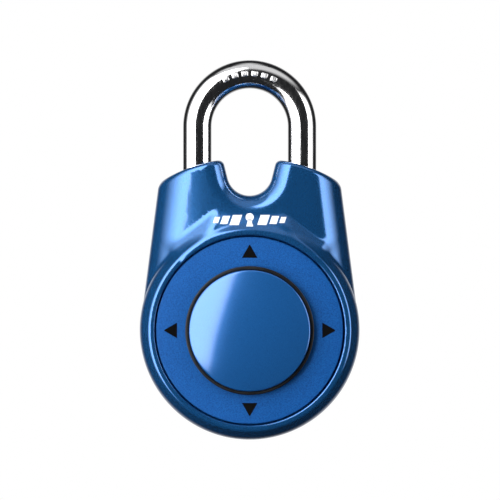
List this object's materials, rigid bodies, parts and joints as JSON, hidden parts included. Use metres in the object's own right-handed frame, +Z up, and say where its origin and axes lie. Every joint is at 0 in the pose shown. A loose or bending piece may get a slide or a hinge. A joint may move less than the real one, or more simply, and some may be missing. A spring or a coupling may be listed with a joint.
{
  "type": "padlock",
  "caption": "Keyless padlock with a round dial and a four-way sliding knob, a teardrop cast body, a chrome shackle and a full internal latch and code-wheel mechanism.",
  "frame": {"origin": "inside of the shackle's crown, where the closed lock hangs", "axes": "+Z up, out of the shackle's crown; front and dial face -Y; +X to the viewer's right, the toe's side"},
  "size_m": [0.055, 0.0262, 0.0952],
  "materials": {
    "blue_cast": "gloss",
    "blue_matte": "matte",
    "blue_gloss": "gloss",
    "chrome": "polished",
    "steel": "satin",
    "spring_steel": "satin",
    "brass": "satin",
    "black_plastic": "satin",
    "grey_plastic": "satin",
    "white_plastic": "satin"
  },
  "bodies": {
    "lock_body": {"front_shell": "blue_cast", "back_cover": "blue_cast", "cover_rivets": "blue_cast", "face_plate": "blue_matte", "guide_plate": "steel", "rear_plate": "steel", "wheel_posts": "steel", "wheel_clips": "spring_steel", "heel_pin": "steel", "latch_keeper": "steel", "shackle_spring": "spring_steel", "latch_spring": "spring_steel", "centring_spring_up": "spring_steel", "centring_spring_right": "spring_steel", "centring_spring_down": "spring_steel", "centring_spring_left": "spring_steel"},
    "shackle": {"shackle": "chrome"},
    "latch": {"latch_bolt": "brass"},
    "release": {"release_frame": "brass"},
    "across": {"across_carriage": "grey_plastic"},
    "knob": {"knob_cap": "blue_gloss", "knob_ring": "black_plastic", "knob_stem": "black_plastic", "dust_shield": "black_plastic", "stem_washer": "steel", "knob_screw": "steel"},
    "upward": {"upward_carriage": "grey_plastic"},
    "reset": {"reset_lever": "black_plastic"},
    "wheel_up": {"ratchet_wheel_up": "white_plastic", "gate_disc_up": "brass"},
    "wheel_right": {"ratchet_wheel_right": "white_plastic", "gate_disc_right": "brass"},
    "wheel_down": {"ratchet_wheel_down": "white_plastic", "gate_disc_down": "brass"},
    "wheel_left": {"ratchet_wheel_left": "white_plastic", "gate_disc_left": "brass"}
  },
  "joints": [
    {"name": "shackle_lift", "type": "slide", "parent": "lock_body", "child": "shackle", "axis": [0, 0, 1], "range_m": [-0.0025, 0.013], "deforming": ["shackle_spring"]},
    {"name": "latch_slide", "type": "slide", "parent": "lock_body", "child": "latch", "axis": [1, 0, 0], "range_m": [0, 0.0016], "deforming": ["latch_spring"]},
    {"name": "release_slide", "type": "slide", "parent": "lock_body", "child": "release", "axis": [-1, 0, 0], "range_m": [0, 0.0018]},
    {"name": "knob_across", "type": "slide", "parent": "lock_body", "child": "across", "axis": [1, 0, 0], "range_m": [-0.0035, 0.0035], "stiffness_N_per_m": 800, "deforming": ["centring_spring_right", "centring_spring_left"]},
    {"name": "knob_upward", "type": "slide", "parent": "across", "child": "knob", "axis": [0, 0, 1], "range_m": [-0.0035, 0.0035], "stiffness_N_per_m": 800},
    {"name": "upward_slide", "type": "slide", "parent": "lock_body", "child": "upward", "axis": [0, 0, 1], "range_m": [-0.0035, 0.0035], "deforming": ["centring_spring_up", "centring_spring_down"]},
    {"name": "reset_slide", "type": "slide", "parent": "lock_body", "child": "reset", "axis": [0, 0, 1], "range_m": [0, 0.004]},
    {"name": "wheel_up_turn", "type": "hinge", "parent": "lock_body", "child": "wheel_up", "pos_m": [0, 0, -0.04663], "axis": [0, -1, 0], "range_deg": [-330, 0]},
    {"name": "wheel_right_turn", "type": "hinge", "parent": "lock_body", "child": "wheel_right", "pos_m": [0.014, 0, -0.06063], "axis": [0, -1, 0], "range_deg": [-330, 0]},
    {"name": "wheel_down_turn", "type": "hinge", "parent": "lock_body", "child": "wheel_down", "pos_m": [0, 0, -0.07463], "axis": [0, -1, 0], "range_deg": [-330, 0]},
    {"name": "wheel_left_turn", "type": "hinge", "parent": "lock_body", "child": "wheel_left", "pos_m": [-0.014, 0, -0.06063], "axis": [0, -1, 0], "range_deg": [-330, 0]}
  ],
  "couplings": [
    {"joint": "upward_slide", "follows": "knob_upward", "ratio": 1}
  ]
}
